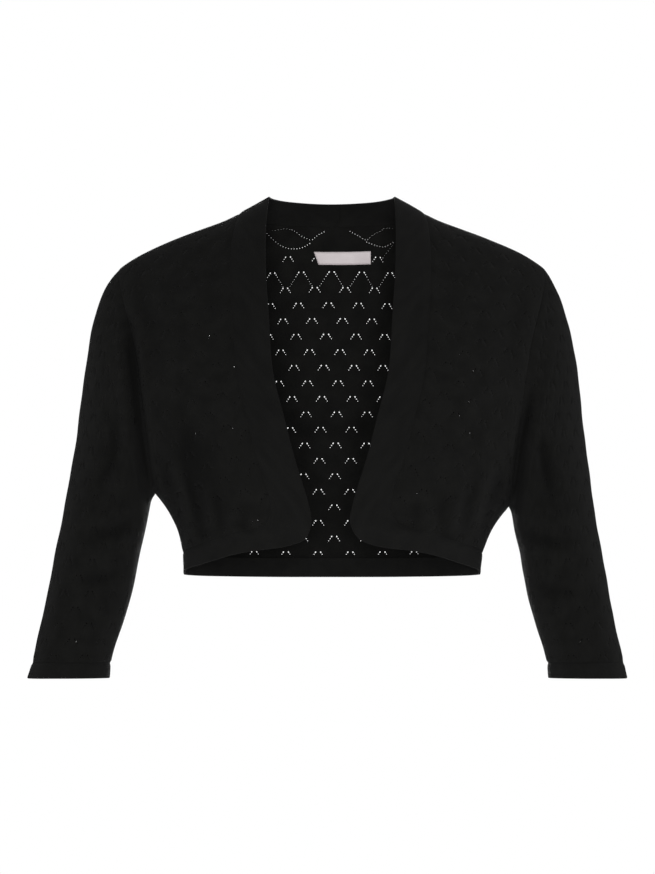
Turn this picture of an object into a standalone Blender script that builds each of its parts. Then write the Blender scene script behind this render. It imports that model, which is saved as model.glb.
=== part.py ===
"""A knitted open-front shrug as it sits on the shoulders, worn form with no wearer.

+Z is up, the front faces -Y and +X is the wearer's left. The origin lies between the two
neck points, level with the shoulder seams' inner ends. Tables are in millimetres.
Every panel is a thin wall over one torso form or over sleeve rings, with a small seam gap.
"""
import math

import bpy
import numpy as np

MM = 0.001
WALL = 2.0
SEAM_GAP = 0.3
LABEL_WALL = 0.8
LABEL_GAP = 0.55
LABEL_SLANT = 1.2  # the back leans there, so its wall is this much thicker along Y
MOST_MITRE = 2.0
SETTLING = 60  # rounds in which a point of the torso form finds its height

# How many cells each stretch of seam is divided into.
ARMHOLE_CELLS = 12
SIDE_CELLS = 3
SHOULDER_CELLS = 9
NECK_CELLS = 10
SLEEVE_CELLS = 11
BAND_CELLS = 2
CUFF_CELLS = 1
HEM_CELLS = 1
LABEL_CELLS = 6

# The torso form: at each height, its half width and its depth in front and behind.
TORSO = (
    # height, half_width, front_depth, back_depth
    (60, 238, 100, 82),
    (-60, 238, 109, 89),
    (-100, 235, 115, 93),
    (-140, 228, 122, 96),
    (-180, 220, 128, 97),
    (-230, 206, 133, 96),
    (-260, 195, 134, 94),
    (-285, 182.5, 133, 92),
    (-299, 177.5, 131, 91),
    (-310, 168, 129, 90),
    (-323, 160, 126, 89),
    (-340, 153, 121, 88),
    (-359, 149.5, 114, 87),
    (-395, 149, 108, 86),
)
SQUARENESS = 2.5  # 2 is a plain ellipse, more is boxier
# The wearer's left underarm sits a little lower than the right one.
UNDERARM_DROP = 13
UNDERARM_LEVEL = -320
UNDERARM_REACH = 60
SIDE_X = 140  # beyond this distance from the centre a point belongs wholly to its side

# The crest of the shoulders. Inside the neck it runs on, to shape the cloth below it.
CREST = (
    # distance_from_centre, height
    (0, 37),
    (40, 13),
    (62.5, 0),
    (84.5, -13),
    (104, -23),
    (130.5, -33),
    (156.5, -43),
    (180, -53),
    (198.5, -63),
    (214.5, -75),
    (240, -112),
)
# Where the form stops rounding over towards the crest, and how fully it rounds.
CHEST = {"front": (-240, 1.5), "back": (-160, 1.9)}

# The armhole seam from the shoulder point down to the underarm point.
ARMHOLE_TOP = -75
ARMHOLE = (
    # share_of_the_way_down, distance_from_centre
    (0.0, 214.5),
    (0.1, 210),
    (0.2, 204),
    (0.3, 197.5),
    (0.45, 191),
    (0.6, 186),
    (0.8, 180.5),
    (1.0, 177.5),
)

# The band from the neck point down the front, round the corner and along the hem.
BAND = (
    # edge_x, edge_z, seam_x, seam_z
    (62.5, 0, 92, -17.1),
    (63.5, -12, 95, -27),
    (64, -45, 98, -55),
    (62.5, -95, 98, -97),
    (60, -127, 95.5, -128),
    (58, -159, 93, -161),
    (55, -190, 90, -193),
    (44, -235, 79, -239),
    (32, -280, 67, -284),
    (21, -316, 58, -312),
    (18.5, -334, 58.5, -326),
    (25, -348, 65, -335),
    (40, -354.5, 77, -339),
    (74, -359, 97, -342.5),
    (113, -366.5, 120, -349),
    (149.3, -378.5, 149.5, -359),
)
CORNER_ROW = 10  # the row of BAND where the front seam turns into the hem seam
CORNER_CROWDING = 1.4  # how much closer the band's stations stand towards that corner
OPENING_SHIFT = -1.5  # the opening sits this far towards the wearer's right

# The back neck: ovals in plan through the neck points, one for the edge and one for the seam.
NECK_EDGE_DEPTH = 62
NECK_EDGE_RISE = 3.5
NECK_SEAM_DEPTH = 72
NECK_SEAM_DIP = -1.0
NECK_FADE = 3  # how quickly the neck's own shape gives way to the torso form
EASING = 12  # rounds in which the cloth below the neck is eased smooth
BAND_JOIN_X = 7  # where the two bands meet behind the neck

HEM_TOP = -359
HEM_EDGE = -378.5

# Sleeve rings, each given by its outermost and innermost points, after the armhole itself.
SLEEVE = {
    "right": (
        # outer_x, outer_z, inner_x, inner_z, half_depth, centre_y, roundness
        (214.5, -75, 177.5, -299, 62, -6, 0.0),
        (224.5, -85, 179, -302, 61, -6, 0.14),
        (231, -97, 180.5, -306, 60, -5, 0.3),
        (236.5, -115, 182, -311, 59, -4, 0.48),
        (242, -142, 183.5, -319, 58, -3, 0.66),
        (247.5, -178, 186, -331, 56.5, -2, 0.82),
        (253, -222, 189, -348, 54.5, -2, 0.94),
        (260, -268, 193, -370, 52.5, -3, 1.0),
        (269, -318, 199.5, -395, 50, -4, 1.0),
        (279, -370, 208, -423, 47, -6, 1.0),
        (290.5, -425, 216.5, -448, 43.5, -8, 1.0),
        (299.5, -464.5, 221, -465, 41, -9, 1.0),
    ),
    "left": (
        # outer_x, outer_z, inner_x, inner_z, half_depth, centre_y, roundness
        (214.5, -75, 177.5, -312, 62, -6, 0.0),
        (221, -84, 178.5, -315, 61, -6, 0.14),
        (227, -96, 179, -318, 60, -5, 0.3),
        (233.5, -114, 180, -323, 59, -4, 0.48),
        (241, -142, 181.5, -331, 58, -3, 0.66),
        (246.5, -178, 184, -343, 56.5, -2, 0.82),
        (251, -222, 187, -358, 54.5, -2, 0.94),
        (256, -268, 190.5, -379, 52.5, -3, 1.0),
        (263, -318, 196, -402, 50, -4, 1.0),
        (272, -370, 203, -426, 47, -6, 1.0),
        (282.5, -425, 210.5, -449, 43.5, -8, 1.0),
        (291.5, -464.5, 215, -465, 41, -9, 1.0),
    ),
}
CUFF = {
    "right": (304, -480, 222.5, -480, 42, -9.5, 1.0),
    "left": (294.5, -480, 216.5, -480, 42, -9.5, 1.0),
}
# Folds beside the armholes, as troughs in the sleeve: front ones face 90 degrees, back ones 270.
SLEEVE_FOLDS = (
    # ring, angle, depth, ring_spread, angle_spread
    (2.0, 118, 7.0, 1.3, 42),
    (3.2, 160, 4.0, 1.5, 22),
    (2.2, 244, 5.0, 1.4, 40),
    (6.5, 172, 3.0, 1.2, 40),
)

LABEL_X = (-19, 41)
LABEL_Z = (-52.5, -40)

COLOURS = {
    # slot: base colour, roughness
    "black_knit": ((0.010, 0.010, 0.010), 0.9),
    "black_band_knit": ((0.012, 0.012, 0.012), 0.88),
    "label_satin": ((0.50, 0.45, 0.46), 0.6),
}


# The edges of each kind of piece that are seams and so keep the gap.
SEAMS = {
    "back": ("top", "foot", "start", "end"),
    "front": ("top", "foot", "start", "end"),
    "sleeve": ("top", "foot"),
    "cuff": ("top",),
    "band": ("top", "foot", "end"),
    "hem": ("top", "start", "end"),
}


def clear_scene():
    for thing in list(bpy.data.objects):
        bpy.data.objects.remove(thing, do_unlink=True)


def smooth(table, at):
    """The table's other columns at given values of its first, on a smooth curve."""
    rows = np.array(table, float)
    rows = rows[np.argsort(rows[:, 0])]
    knots, values = rows[:, 0], rows[:, 1:]
    steps = np.diff(knots)[:, None]
    slopes = np.diff(values, axis=0) / steps
    inner = (steps[1:] * slopes[:-1] + steps[:-1] * slopes[1:]) / (steps[1:] + steps[:-1])
    tangents = np.vstack([slopes[:1], inner, slopes[-1:]])
    at = np.clip(np.asarray(at, float), knots[0], knots[-1])
    k = np.clip(np.searchsorted(knots, at, side="right") - 1, 0, len(steps) - 1)
    h = steps[k]
    f = (at - knots[k])[..., None] / h
    return (
        values[k] * (2 * f**3 - 3 * f**2 + 1)
        + tangents[k] * h * (f**3 - 2 * f**2 + f)
        + values[k + 1] * (3 * f**2 - 2 * f**3)
        + tangents[k + 1] * h * (f**3 - f**2)
    )


def crest(x):
    return smooth(CREST, np.abs(x))[..., 0]


def torso_row(x, z):
    """Half width, front depth and back depth of the torso form at a height."""
    share = np.clip(0.5 + x / 2 / SIDE_X, 0, 1)
    lowered = UNDERARM_DROP * np.exp(-(((z - UNDERARM_LEVEL) / UNDERARM_REACH) ** 2)) * share
    row = smooth(TORSO, z + lowered)
    return row[..., 0], row[..., 1], row[..., 2]


def torso(angles, face):
    """Points of the torso form at (around, over)."""
    around, over = angles[..., 0], angles[..., 1]
    level, fullness = CHEST[face]
    rise = np.where(over < math.pi / 2, np.cos(over), math.pi / 2 - over)
    x = SIDE_X * np.sin(around)
    for _ in range(SETTLING):
        z = level + rise * (crest(x) - level)
        x = torso_row(x, z)[0] * np.sin(around)
    z = level + rise * (crest(x) - level)
    half, front, back = torso_row(x, z)
    depth = -front if face == "front" else back
    over_cap = 1 - np.clip(rise, 0, 1) ** fullness
    side_cap = 1 - np.abs(np.sin(around)) ** SQUARENESS
    y = depth * np.sqrt(np.clip(over_cap * side_cap, 0, 1))
    return np.stack([x, y, z], axis=-1)


def side_sign(side):
    return -1 if side == "right" else 1


def armhole_foot(side):
    return SLEEVE[side][0][3]


def armhole_xz(side, share):
    """The armhole seam in front view, by the share of its height below the shoulder point."""
    x = smooth(ARMHOLE, share)[..., 0] * side_sign(side)
    z = ARMHOLE_TOP + (armhole_foot(side) - ARMHOLE_TOP) * share
    return x, z


def over_at(x, z, face):
    level, _ = CHEST[face]
    rise = (z - level) / (crest(x) - level)
    return np.where(rise > 0, np.arccos(np.clip(rise, -1, 1)), math.pi / 2 - rise)


def angles_of(x, z, face):
    """(around, over) of a point of the torso form. around is 90 degrees at a side seam, and
    over is 0 on the shoulders' crest and grows down the cloth."""
    around = np.arcsin(np.clip(x / torso_row(x, z)[0], -1, 1))
    return np.stack([around, over_at(x, z, face)], axis=-1)


def side_angles(side, z, face):
    """Angles of points on a side seam at the given heights."""
    sign = side_sign(side)
    x = sign * torso_row(sign * SIDE_X, z)[0]
    return np.stack([0 * z + sign * math.pi / 2, over_at(x, z, face)], axis=-1)


def side_line(side, face):
    """Angles down the armhole seam and then the side seam, from shoulder to hem seam."""
    share = (1 - np.cos(np.linspace(0, math.pi, ARMHOLE_CELLS + 1))) / 2
    arm = angles_of(*armhole_xz(side, share[:-1]), face)
    arm[0, 1] = 0
    down = side_angles(side, np.linspace(armhole_foot(side), HEM_TOP, SIDE_CELLS + 1), face)
    return np.vstack([arm, down])


def band_rows(side):
    """Edge and seam angles of the front band at its table's rows."""
    rows = np.array(BAND, float)
    sign = side_sign(side)
    shift = OPENING_SHIFT * np.clip(-rows[:, 1] / 60, 0, 1) * (np.arange(len(rows)) <= CORNER_ROW)
    lines = []
    for x, z in ((rows[:, 0], rows[:, 1]), (rows[:, 2], rows[:, 3])):
        line = angles_of(sign * x + shift, z, "front")
        line[0, 1] = 0
        line[-1] = side_angles(side, z[-1:], "front")[0]
        lines.append(line)
    return lines


def band_front(side):
    """Edge and seam angles at every station of the front band, closest at its corner."""
    edge, seam = band_rows(side)
    steps = np.linalg.norm(np.diff(torso(seam, "front"), axis=0), axis=1)
    run = np.concatenate([[0], np.cumsum(steps)])
    to_go = np.linspace(1, 0, ARMHOLE_CELLS + SIDE_CELLS + 1) ** CORNER_CROWDING
    gone = np.linspace(0, 1, SHOULDER_CELLS + 1)[1:] ** CORNER_CROWDING
    front = run[CORNER_ROW] * (1 - to_go)
    hem = run[CORNER_ROW] + (run[-1] - run[CORNER_ROW]) * gone
    values = smooth(np.column_stack([run, edge, seam]), np.concatenate([front, hem]))
    return values[:, :2], values[:, 2:]


def progress(lines, axis):
    """How far along each of two facing edges has come at every station, averaged."""
    return sum((line[:, axis] - line[0, axis]) / (line[-1, axis] - line[0, axis]) for line in lines) / 2


def coons(top, foot, start, end):
    """A grid of angles between four edges: rows run from top to foot, columns from start to end."""
    v = progress((start, end), 1)[:, None, None]
    u = progress((top, foot), 0)[None, :, None]
    ruled = (1 - v) * top[None] + v * foot[None]
    across = (1 - u) * start[:, None] + u * end[:, None]
    corners = (1 - v) * ((1 - u) * top[0] + u * top[-1]) + v * ((1 - u) * foot[0] + u * foot[-1])
    return ruled + across - corners


def shoulder_line(side, face):
    """Angles along the crest from the band's seam to the shoulder point."""
    start = band_front(side)[1][0, 0]
    end = side_line(side, face)[0, 0]
    around = np.linspace(start, end, SHOULDER_CELLS + 1)
    return np.stack([around, 0 * around], axis=-1)


def front_panel(side):
    _, seam = band_front(side)
    rows = ARMHOLE_CELLS + SIDE_CELLS
    top = shoulder_line(side, "front")
    angles = coons(top, seam[rows:], seam[: rows + 1], side_line(side, "front"))
    return torso(angles, "front")


def neck_oval(half, depth, height, dip, count):
    """Points behind the neck from the wearer's right to the left, evenly round an oval,
    with the bands' join as the middle point."""
    join = math.asin(BAND_JOIN_X / half)
    first = np.linspace(-math.pi / 2, join, count // 2 + 1)
    second = np.linspace(join, math.pi / 2, count - count // 2 + 1)[1:]
    turn = np.concatenate([first, second])
    rise = height + dip * np.cos(turn)
    return np.stack([half * np.sin(turn), depth * np.cos(turn), rise], axis=-1)


def neck_seam():
    corner = torso(band_front("left")[1][0], "front")
    return neck_oval(corner[0], NECK_SEAM_DEPTH, corner[2], NECK_SEAM_DIP, NECK_CELLS)


def neck_edge():
    corner = torso(band_front("left")[0][0], "front")
    return neck_oval(corner[0], NECK_EDGE_DEPTH, corner[2], NECK_EDGE_RISE, NECK_CELLS)


def back_panel():
    seam = neck_seam()
    middle = angles_of(seam[1:-1, 0], seam[1:-1, 2], "back")
    right, left = shoulder_line("right", "back"), shoulder_line("left", "back")
    top = np.vstack([right[::-1], middle, left])
    columns = len(top)
    foot_around = np.linspace(-math.pi / 2, math.pi / 2, columns)
    level = np.full(columns, float(HEM_TOP))
    half = torso_row(SIDE_X * np.sin(foot_around), level)[0]
    over = over_at(half * np.sin(foot_around), level, "back")
    foot = np.stack([foot_around, over], axis=-1)
    start, end = side_line("right", "back"), side_line("left", "back")
    foot[0], foot[-1] = start[-1], end[-1]
    grid = torso(coons(top, foot, start, end), "back")
    wanted = np.zeros_like(grid[0])
    wanted[SHOULDER_CELLS : SHOULDER_CELLS + NECK_CELLS + 1] = (
        seam - grid[0, SHOULDER_CELLS : SHOULDER_CELLS + NECK_CELLS + 1]
    )
    fade = (1 - np.linspace(0, 1, len(grid))) ** NECK_FADE
    return eased(grid + fade[:, None, None] * wanted[None], fade[1:-1, None])


def eased(grid, share):
    """The grid with its inner points moved along Y towards the middle of their neighbours."""
    depth = grid[..., 1].copy()
    for _ in range(EASING):
        middle = (depth[:-2, 1:-1] + depth[2:, 1:-1] + depth[1:-1, :-2] + depth[1:-1, 2:]) / 4
        depth[1:-1, 1:-1] += share * (middle - depth[1:-1, 1:-1])
    return np.stack([grid[..., 0], depth, grid[..., 2]], axis=-1)


def band(side, panels):
    """The neck, front and hem band of one side, from the join behind the neck to the side."""
    edge, seam = band_front(side)
    across = np.linspace(0, 1, BAND_CELLS + 1)[None, :, None]
    front = torso(edge[:, None] * (1 - across) + seam[:, None] * across, "front")
    half = NECK_CELLS // 2
    inner, outer = neck_edge(), panels["back"][0, SHOULDER_CELLS : SHOULDER_CELLS + NECK_CELLS + 1]
    if side == "right":
        inner, outer = inner[1 : half + 1][::-1], outer[1 : half + 1][::-1]
    else:
        inner, outer = inner[half:-1], outer[half:-1]
    behind = inner[:, None] * (1 - across) + outer[:, None] * across
    return np.vstack([behind, front])


def hem_band(panels):
    """The band below the back panel, from side seam to side seam."""
    top = panels["back"][-1]
    around = np.linspace(-math.pi / 2, math.pi / 2, len(top))
    level = np.full(len(top), float(HEM_EDGE))
    half, _, back = torso_row(SIDE_X * np.sin(around), level)
    side_cap = 1 - np.abs(np.sin(around)) ** SQUARENESS
    foot = np.stack([half * np.sin(around), back * np.sqrt(side_cap), level], axis=-1)
    foot[0] = panels["band_right"][-1, 0]
    foot[-1] = panels["band_left"][-1, 0]
    across = np.linspace(0, 1, HEM_CELLS + 1)[:, None, None]
    return top[None] * (1 - across) + foot[None] * across


def armhole_ring(side, panels):
    """The whole armhole seam, down the front from the shoulder point and up the back."""
    column = -1
    front = panels["front_" + side][: ARMHOLE_CELLS + 1, column]
    column = 0 if side == "right" else -1
    back = panels["back"][: ARMHOLE_CELLS + 1, column]
    return np.vstack([front, back[-2:0:-1]])


def sleeve(side, panels):
    """Rings from the armhole seam to the cuff seam, with the folds beside the armhole."""
    sign = side_sign(side)
    seam = armhole_ring(side, panels)
    turn = np.linspace(0, 2 * math.pi, len(seam), endpoint=False)
    table = np.array(SLEEVE[side], float)
    rows = np.column_stack([np.arange(len(table)), table])
    rings = []
    first = table[0]
    straight = (first[0] + first[2]) / 2 + (first[0] - first[2]) / 2 * np.cos(turn)
    bow = seam[:, 0] - sign * straight
    for number in np.linspace(0, len(table) - 1, SLEEVE_CELLS + 1):
        outer_x, outer_z, inner_x, inner_z, half_depth, centre_y, round_share = smooth(rows, number)
        x = sign * ((outer_x + inner_x) / 2 + (outer_x - inner_x) / 2 * np.cos(turn))
        z = (outer_z + inner_z) / 2 + (outer_z - inner_z) / 2 * np.cos(turn)
        oval = centre_y - half_depth * np.sin(turn)
        y = seam[:, 1] * (1 - round_share) + oval * round_share
        ring = np.stack([x + bow * (1 - round_share), y, z], axis=-1)
        rings.append(ring + fold_offsets(number, turn, sign, outer_x - inner_x, outer_z - inner_z))
    rings[0] = seam
    return np.array(rings)


def fold_offsets(number, turn, sign, across_x, across_z):
    """How far the sleeve's folds push a ring's points towards its middle."""
    depth = np.zeros_like(turn)
    for ring, angle, most, ring_spread, angle_spread in SLEEVE_FOLDS:
        off = (np.degrees(turn) - angle + 180) % 360 - 180
        depth += most * np.exp(-((off / angle_spread) ** 2)) * math.exp(
            -(((number - ring) / ring_spread) ** 2)
        )
    depth *= min(number, 1)
    length = math.hypot(across_x, across_z)
    lean_x, lean_z = sign * across_x / length, across_z / length
    inward = np.stack([-np.cos(turn) * lean_x, np.sin(turn), -np.cos(turn) * lean_z], axis=-1)
    return depth[:, None] * inward


def cuff(side, panels):
    sign = side_sign(side)
    start = panels["sleeve_" + side][-1]
    turn = np.linspace(0, 2 * math.pi, len(start), endpoint=False)
    outer_x, outer_z, inner_x, inner_z, half_depth, centre_y, _ = CUFF[side]
    end = np.stack(
        [
            sign * ((outer_x + inner_x) / 2 + (outer_x - inner_x) / 2 * np.cos(turn)),
            centre_y - half_depth * np.sin(turn),
            (outer_z + inner_z) / 2 + (outer_z - inner_z) / 2 * np.cos(turn),
        ],
        axis=-1,
    )
    along = np.linspace(0, 1, CUFF_CELLS + 1)[:, None, None]
    return start[None] * (1 - along) + end[None] * along


def cell_normals(grid, closed, way):
    """A normal for each cell of a grid, as long as the cell's area. way is 1 or -1."""
    right = np.roll(grid, -1, axis=1) if closed else grid[:, 1:]
    left = grid if closed else grid[:, :-1]
    return way * np.cross(right[1:] - left[:-1], left[1:] - right[:-1]) / 2


def outward_way(grid, closed):
    """1 or -1, whichever turns the cells' normals out of the garment."""
    normals = cell_normals(grid, closed, 1)
    middle = grid.mean(axis=1, keepdims=True) if closed else grid * [0, 0, 1] - [0, 0, 60]
    away = (grid - middle)[:-1, : normals.shape[1]]
    return 1 if (normals * away).sum() > 0 else -1


def place_of(point):
    return tuple(np.round(point * 1000).astype(int))


def shared_normals(pieces):
    """For every place, the normal halfway between the pieces that meet there, and how far a
    mitred wall reaches along it for a wall of 1."""
    meeting = {}
    for number, (grid, closed, way) in enumerate(pieces):
        normals = cell_normals(grid, closed, way)
        count = grid.shape[1]
        for i, j in np.ndindex(normals.shape[:2]):
            for down, along in ((0, 0), (0, 1), (1, 0), (1, 1)):
                sums = meeting.setdefault(place_of(grid[i + down, (j + along) % count]), {})
                sums[number] = sums.get(number, 0) + normals[i, j]
    found = {}
    for place, sums in meeting.items():
        units = unit_rows(np.array(list(sums.values())))
        middle = unit_rows(units.sum(axis=0)[None])[0]
        found[place] = (middle, 1 / max((units @ middle).min(), 1 / MOST_MITRE))
    return found


EDGES = {
    # name: the line's index, the next line's, and the axis that both count along
    "top": (0, 1, 0),
    "foot": (-1, -2, 0),
    "start": (0, 1, 1),
    "end": (-1, -2, 1),
}


def pull_in(grid, normals, closed, seams):
    """The grid with its seam edges moved half a seam gap into the piece, square to the seam."""
    moved = grid.copy()
    for name in seams:
        line, inside, axis = EDGES[name]
        edge, within = np.take(grid, line, axis=axis), np.take(grid, inside, axis=axis)
        square = np.take(normals, line, axis=axis)
        if closed:
            along = np.roll(edge, -1, axis=0) - np.roll(edge, 1, axis=0)
        else:
            along = np.gradient(edge, axis=0)
        way = unit_rows(within - edge)
        for taken in (square, unit_rows(along)):
            way = way - taken * (way * taken).sum(axis=1, keepdims=True)
        way = unit_rows(way) * SEAM_GAP / 2
        if axis == 0:
            moved[line] += way
        else:
            moved[:, line] += way
    return moved


def unit_rows(vectors):
    return vectors / np.linalg.norm(vectors, axis=1, keepdims=True)


def wall_between(outer, inner, closed, way):
    """Vertices and faces of the closed wall between two grids of one shape."""
    rows, count = outer.shape[:2]
    points = np.vstack([outer.reshape(-1, 3), inner.reshape(-1, 3)])
    below = rows * count
    columns = count if closed else count - 1

    def at(i, j):
        return i * count + j % count

    faces = []
    for i in range(rows - 1):
        for j in range(columns):
            quad = [at(i, j), at(i + 1, j), at(i + 1, j + 1), at(i, j + 1)]
            faces += [quad[::-1], [q + below for q in quad]]
    rims = [[at(0, j) for j in range(columns, -1, -1)], [at(rows - 1, j) for j in range(columns + 1)]]
    if not closed:
        rims.append([at(i, 0) for i in range(rows)])
        rims.append([at(i, count - 1) for i in range(rows - 1, -1, -1)])
    halves = [half for face in faces for half in (face[:3], [face[0], *face[2:]])]
    for line in rims:
        for a, b in zip(line, line[1:]):
            halves += rim_halves(points, a, b, below)
    return points, halves if way > 0 else [half[::-1] for half in halves]


def rim_halves(points, a, b, below):
    """Two triangles across the wall's edge. The split starts from the higher point, so that
    two rims that face each other are split alike."""
    height_a, height_b = (tuple(np.round(points[k], 0)[::-1]) for k in (a, b))
    if height_a > height_b:
        return [[a, b, b + below], [a, b + below, a + below]]
    return [[a, b, a + below], [b, b + below, a + below]]


def material(slot):
    made = bpy.data.materials.get(slot)
    if made:
        return made
    colour, roughness = COLOURS[slot]
    made = bpy.data.materials.new(slot)
    made.use_nodes = True
    shader = made.node_tree.nodes["Principled BSDF"]
    shader.inputs["Base Color"].default_value = (*colour, 1)
    shader.inputs["Roughness"].default_value = roughness
    shader.inputs["Metallic"].default_value = 0.0
    made.diffuse_color = (*colour, 1)
    return made


def add_object(name, slot, points, faces):
    mesh = bpy.data.meshes.new(name)
    mesh.from_pydata([tuple(p) for p in points * MM], [], faces)
    mesh.shade_smooth()
    mesh.set_sharp_from_angle(angle=math.radians(50))
    mesh.materials.append(material(slot))
    thing = bpy.data.objects.new(name, mesh)
    bpy.context.scene.collection.objects.link(thing)


def add_wall(name, slot, piece, seams, normal_at):
    """The solid of one piece: its cloth face on the form and its thickness inwards."""
    grid, closed, way = piece
    units = np.array([[normal_at[place_of(p)][0] for p in row] for row in grid])
    mitres = np.array([[normal_at[place_of(p)][1] for p in row] for row in grid])
    outer = pull_in(grid, units, closed, seams)
    inner = outer - units * mitres[..., None] * WALL
    add_object(name, slot, *wall_between(outer, inner, closed, way))


def point_under(grid, x, z):
    """Where the line along Y through (x, z) meets a panel's facets."""
    for i, j in np.ndindex(grid.shape[0] - 1, grid.shape[1] - 1):
        a, b, c, d = grid[i, j], grid[i + 1, j], grid[i + 1, j + 1], grid[i, j + 1]
        for p, q, r in ((a, b, c), (a, c, d)):
            sides = np.array([[q[0] - p[0], r[0] - p[0]], [q[2] - p[2], r[2] - p[2]]])
            if abs(np.linalg.det(sides)) < 1e-9:
                continue
            f, g = np.linalg.solve(sides, [x - p[0], z - p[2]])
            if f > -1e-6 and g > -1e-6 and f + g < 1 + 1e-6:
                return p + f * (q - p) + g * (r - p)
    raise ValueError("the panel has no facet there")


def add_label(back):
    """A woven label on the inside of the back, made from the panel's own points."""
    across = np.linspace(*LABEL_X, LABEL_CELLS + 1)
    under = np.array([[point_under(back, x, z) for x in across] for z in LABEL_Z[::-1]])
    lean = np.stack([across / NECK_SEAM_DEPTH / 2, 1 + 0 * across, 0 * across], axis=-1)
    inwards = -unit_rows(lean)[None]
    outer = under + inwards * (WALL * LABEL_SLANT + LABEL_GAP)
    inner = outer + inwards * LABEL_WALL
    add_object("label", "label_satin", *wall_between(outer, inner, False, 1))


def build():
    clear_scene()
    grids = {"back": back_panel()}
    for side in SLEEVE:
        grids["front_" + side] = front_panel(side)
    for side in SLEEVE:
        grids["band_" + side] = band(side, grids)
    grids["hem_band_back"] = hem_band(grids)
    for side in SLEEVE:
        grids["sleeve_" + side] = sleeve(side, grids)
        grids["cuff_" + side] = cuff(side, grids)
    pieces = {}
    for name, grid in grids.items():
        closed = name.startswith(("sleeve", "cuff"))
        pieces[name] = (grid, closed, outward_way(grid, closed))
    normal_at = shared_normals(pieces.values())
    for name, piece in pieces.items():
        kind = name.split("_")[0]
        slot = "black_knit" if kind in ("back", "front", "sleeve") else "black_band_knit"
        add_wall(name, slot, piece, SEAMS[kind], normal_at)
    add_label(grids["back"])


build()
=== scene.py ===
"""Looks of the knitted open-front shrug: lace-knit panels with real eyelets, plain bands.

The cloth lies on the same torso form and sleeve rings as the solids. Tables are in
millimetres, in the row's frame: +Z up, the front faces -Y, +X is the wearer's left.
"""

import math

import bmesh
import bpy
import numpy as np
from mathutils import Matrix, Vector
from mathutils.geometry import delaunay_2d_cdt


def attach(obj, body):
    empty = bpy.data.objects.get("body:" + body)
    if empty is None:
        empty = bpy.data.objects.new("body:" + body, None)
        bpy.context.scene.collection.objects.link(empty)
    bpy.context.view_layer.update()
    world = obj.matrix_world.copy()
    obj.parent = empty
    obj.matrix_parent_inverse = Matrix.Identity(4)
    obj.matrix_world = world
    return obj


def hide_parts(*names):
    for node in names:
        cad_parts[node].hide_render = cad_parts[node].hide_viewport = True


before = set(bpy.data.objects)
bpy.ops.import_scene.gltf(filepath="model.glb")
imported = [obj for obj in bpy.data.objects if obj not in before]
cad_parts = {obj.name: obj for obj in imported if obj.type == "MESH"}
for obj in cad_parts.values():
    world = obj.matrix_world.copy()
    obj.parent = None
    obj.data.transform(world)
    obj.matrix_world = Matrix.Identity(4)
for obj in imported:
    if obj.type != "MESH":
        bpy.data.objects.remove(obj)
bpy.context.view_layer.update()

MM = 0.001
DENSE = 5  # cells of cloth for each cell of the solids
CLOTH_STEP = 3.8  # length of cloth between two rows of a lace panel's grid
EDGE_FADE = 3  # how soon a side edge's own course is lost inside the panel
EVENING = 24  # rounds in which a panel's inner points are evened out between its edges
LACE_WALL = 1.2
BAND_WALL = 2.4
LABEL_WALL = 0.5
FOLD_ROWS = np.array([0, 0.12, 0.45, 0.9, 1.4])  # a doubled band's rows, measured from its fold
SEAM_ROWS = np.array([0.0, 0.8, 1.8, 3.2])  # and measured from its seam
SETTLING = 60  # rounds in which a point of the torso form finds its height

ARMHOLE_CELLS = 12 * DENSE
SIDE_CELLS = 3 * DENSE
SHOULDER_CELLS = 9 * DENSE
NECK_CELLS = 10 * DENSE
SLEEVE_CELLS = 11 * 8
BAND_CELLS = 10
CUFF_CELLS = 6
HEM_CELLS = 6

# The torso form: at each height, its half width and its depth in front and behind.
TORSO = (
    # height, half_width, front_depth, back_depth
    (60, 238, 100, 82),
    (-60, 238, 109, 89),
    (-100, 235, 115, 93),
    (-140, 228, 122, 96),
    (-180, 220, 128, 97),
    (-230, 206, 133, 96),
    (-260, 195, 134, 94),
    (-285, 182.5, 133, 92),
    (-299, 177.5, 131, 91),
    (-310, 168, 129, 90),
    (-323, 160, 126, 89),
    (-340, 153, 121, 88),
    (-359, 149.5, 114, 87),
    (-395, 149, 108, 86),
)
SQUARENESS = 2.5  # 2 is a plain ellipse, more is boxier
# The wearer's left underarm sits a little lower than the right one.
UNDERARM_DROP = 13
UNDERARM_LEVEL = -320
UNDERARM_REACH = 60
SIDE_X = 140  # beyond this distance from the centre a point belongs wholly to its side

# The crest of the shoulders. Inside the neck it runs on, to shape the cloth below it.
CREST = (
    # distance_from_centre, height
    (0, 37),
    (40, 13),
    (62.5, 0),
    (84.5, -13),
    (104, -23),
    (130.5, -33),
    (156.5, -43),
    (180, -53),
    (198.5, -63),
    (214.5, -75),
    (240, -112),
)
# Where the form stops rounding over towards the crest, and how fully it rounds.
CHEST = {"front": (-240, 1.5), "back": (-160, 1.9)}

# The armhole seam from the shoulder point down to the underarm point.
ARMHOLE_TOP = -75
ARMHOLE = (
    # share_of_the_way_down, distance_from_centre
    (0.0, 214.5),
    (0.1, 210),
    (0.2, 204),
    (0.3, 197.5),
    (0.45, 191),
    (0.6, 186),
    (0.8, 180.5),
    (1.0, 177.5),
)

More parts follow.
